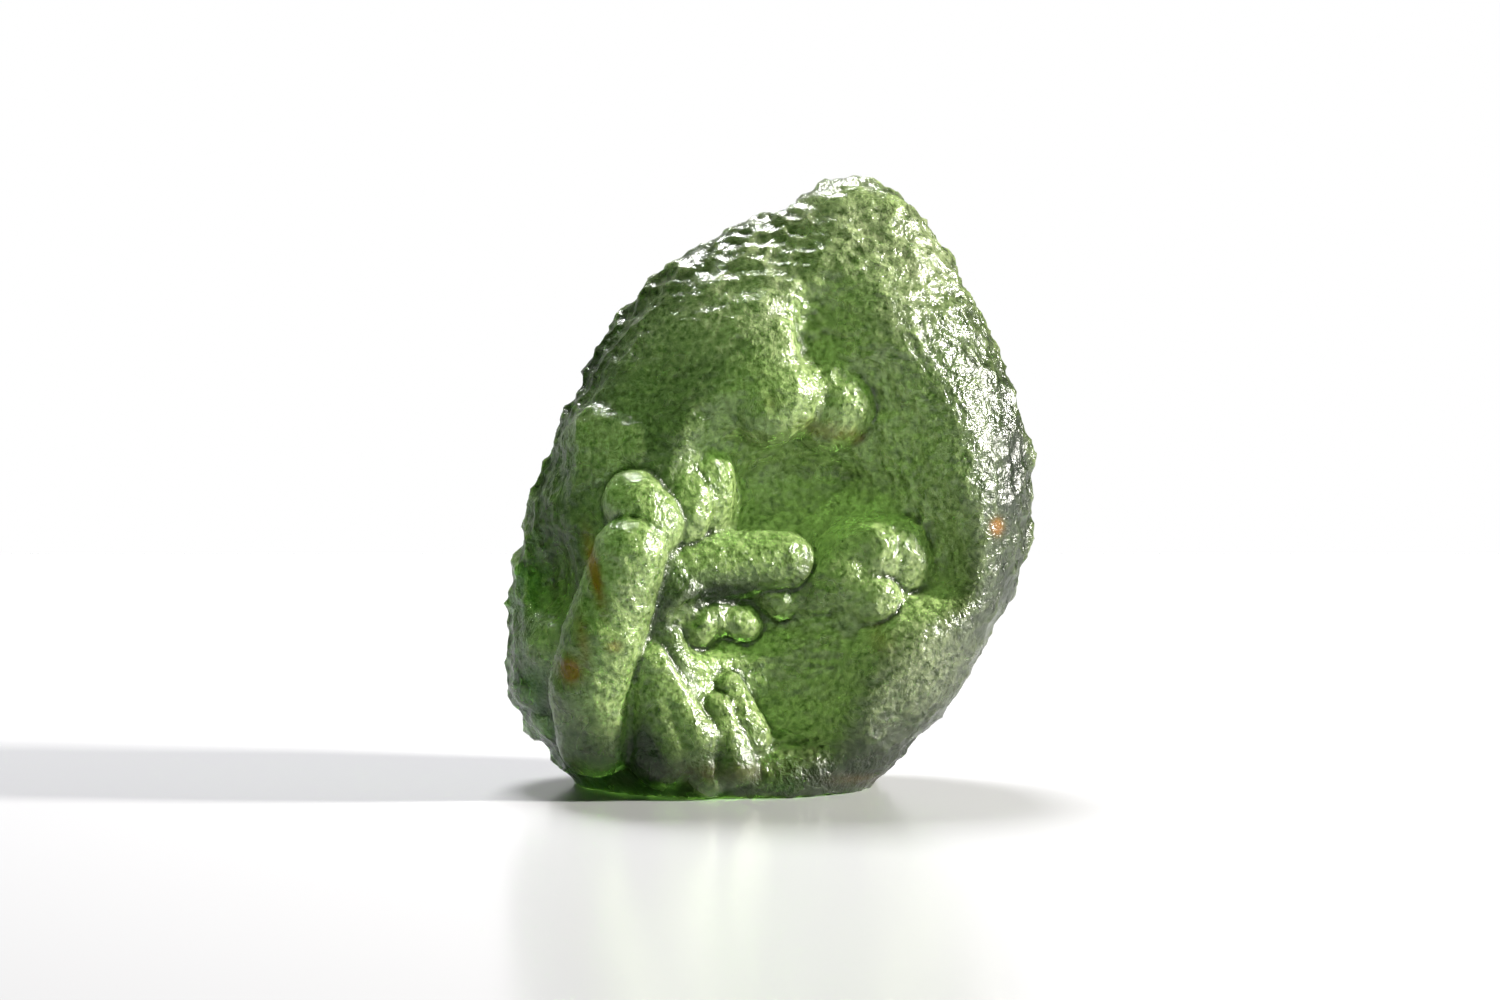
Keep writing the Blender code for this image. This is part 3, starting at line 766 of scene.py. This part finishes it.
# The studio, in metres and watts. Each lamp: place, side of its square, power and colour.
studio = {
    "distance": 0.3,
    "elevation": 5.5,
    "aim": (-0.0007, 0.0, 0.01015),
    "sensor": 36.0,
    "widthSeen": 0.05357,
    "nearest": 0.01,
    "floorSize": 0.16,
    "boardColour": (0.385, 0.385, 0.4, 1.0),
    "boardRoughness": 0.2,
    "boardSpecular": 0.5,
    "sheetLight": 0.6,
    "sheetPlace": (-0.3, 1.0, 0.1),
    "sheetWidth": 0.5,
    "sheetHeight": 0.4,
    "sheetEdge": (1.35, 0.75),
    "roomLight": 0.02,
    "lampAim": (0.0, 0.0, 0.01),
    "lamps": {
        "rightKey": ((0.172, -0.018, 0.078), 0.02, 1.5, (1.0, 0.98, 0.9)),
        "topBack": ((-0.02, 0.12, 0.2), 0.07, 1.35, (1.0, 1.0, 1.0)),
    },
}


def makeFloor():
    # a square of four corners, three times as wide as the view, shaded as pale gloss board
    half = studio["floorSize"] / 2
    corners = np.array([(-1, -1, 0), (1, -1, 0), (1, 1, 0), (-1, 1, 0)]) * half
    mesh = bpy.data.meshes.new("board")
    mesh.from_pydata(corners.tolist(), [], [(0, 1, 2, 3)])
    floor = bpy.data.objects.new("pale_board", mesh)
    bpy.context.scene.collection.objects.link(floor)
    material = bpy.data.materials.new("paleBoard")
    material.use_nodes = True
    shader = material.node_tree.nodes["Principled BSDF"]
    shader.inputs["Base Color"].default_value = studio["boardColour"]
    shader.inputs["Roughness"].default_value = studio["boardRoughness"]
    shader.inputs["Specular IOR Level"].default_value = studio["boardSpecular"]
    mesh.materials.append(material)


def aimAt(thing, place, aim):
    thing.location = place
    thing.rotation_euler = (Vector(aim) - Vector(place)).to_track_quat("-Z", "Y").to_euler()
    bpy.context.scene.collection.objects.link(thing)


def addLamps():
    for name, (place, side, watts, colour) in studio["lamps"].items():
        light = bpy.data.lights.new(name, "AREA")
        light.shape = "RECTANGLE"
        light.size = light.size_y = side
        light.energy = watts
        light.color = colour
        aimAt(bpy.data.objects.new(name, light), place, studio["lampAim"])


def makeTent():
    # a bright sheet behind the stone, in a dim room; the camera sees it white all over
    world = bpy.data.worlds.new("tent")
    bpy.context.scene.world = world
    world.use_nodes = True
    tree = world.node_tree
    background = tree.nodes["Background"]
    background.inputs["Color"].default_value = (1.0, 1.0, 1.0, 1.0)
    # the light is a smooth step from the room's to the sheet's: it starts and ends at sheetEdge in
    # the length of (direction - sheet's place), with X over its width and Z over its height
    place = addNode(tree, "ShaderNodeTexCoord")
    toSheet = addNode(tree, "ShaderNodeVectorMath", operation="SUBTRACT")
    toSheet.inputs[1].default_value = studio["sheetPlace"]
    scaled = addNode(tree, "ShaderNodeVectorMath", operation="DIVIDE")
    scaled.inputs[1].default_value = (studio["sheetWidth"], 1.0, studio["sheetHeight"])
    length = addNode(tree, "ShaderNodeVectorMath", operation="LENGTH")
    total = addNode(tree, "ShaderNodeMapRange", interpolation_type="SMOOTHSTEP")
    numbers = (*studio["sheetEdge"], studio["roomLight"], studio["sheetLight"])
    for name, number in zip(("From Min", "From Max", "To Min", "To Max"), numbers):
        total.inputs[name].default_value = number
    seen = addNode(tree, "ShaderNodeLightPath")
    choice = addNode(tree, "ShaderNodeMix", data_type="FLOAT")
    choice.inputs[3].default_value = 1.0
    link = tree.links.new
    link(place.outputs["Generated"], toSheet.inputs[0])
    link(toSheet.outputs["Vector"], scaled.inputs[0])
    link(scaled.outputs["Vector"], length.inputs[0])
    link(length.outputs["Value"], total.inputs["Value"])
    link(seen.outputs["Is Camera Ray"], choice.inputs[0])
    link(total.outputs["Result"], choice.inputs[2])
    link(choice.outputs[0], background.inputs["Strength"])


def makeCamera():
    lift = math.radians(studio["elevation"])
    aim = Vector(studio["aim"])
    view = bpy.data.cameras.new("view")
    view.sensor_width = studio["sensor"]
    view.lens = studio["sensor"] * studio["distance"] / studio["widthSeen"]
    view.clip_start = studio["nearest"]
    camera = bpy.data.objects.new("view", view)
    aimAt(camera, aim + studio["distance"] * Vector((0.0, -math.cos(lift), math.sin(lift))), aim)
    bpy.context.scene.camera = camera


makeFloor()
makeTent()
addLamps()
makeCamera()
bpy.context.scene.view_settings.view_transform = "Standard"
print("studio made")
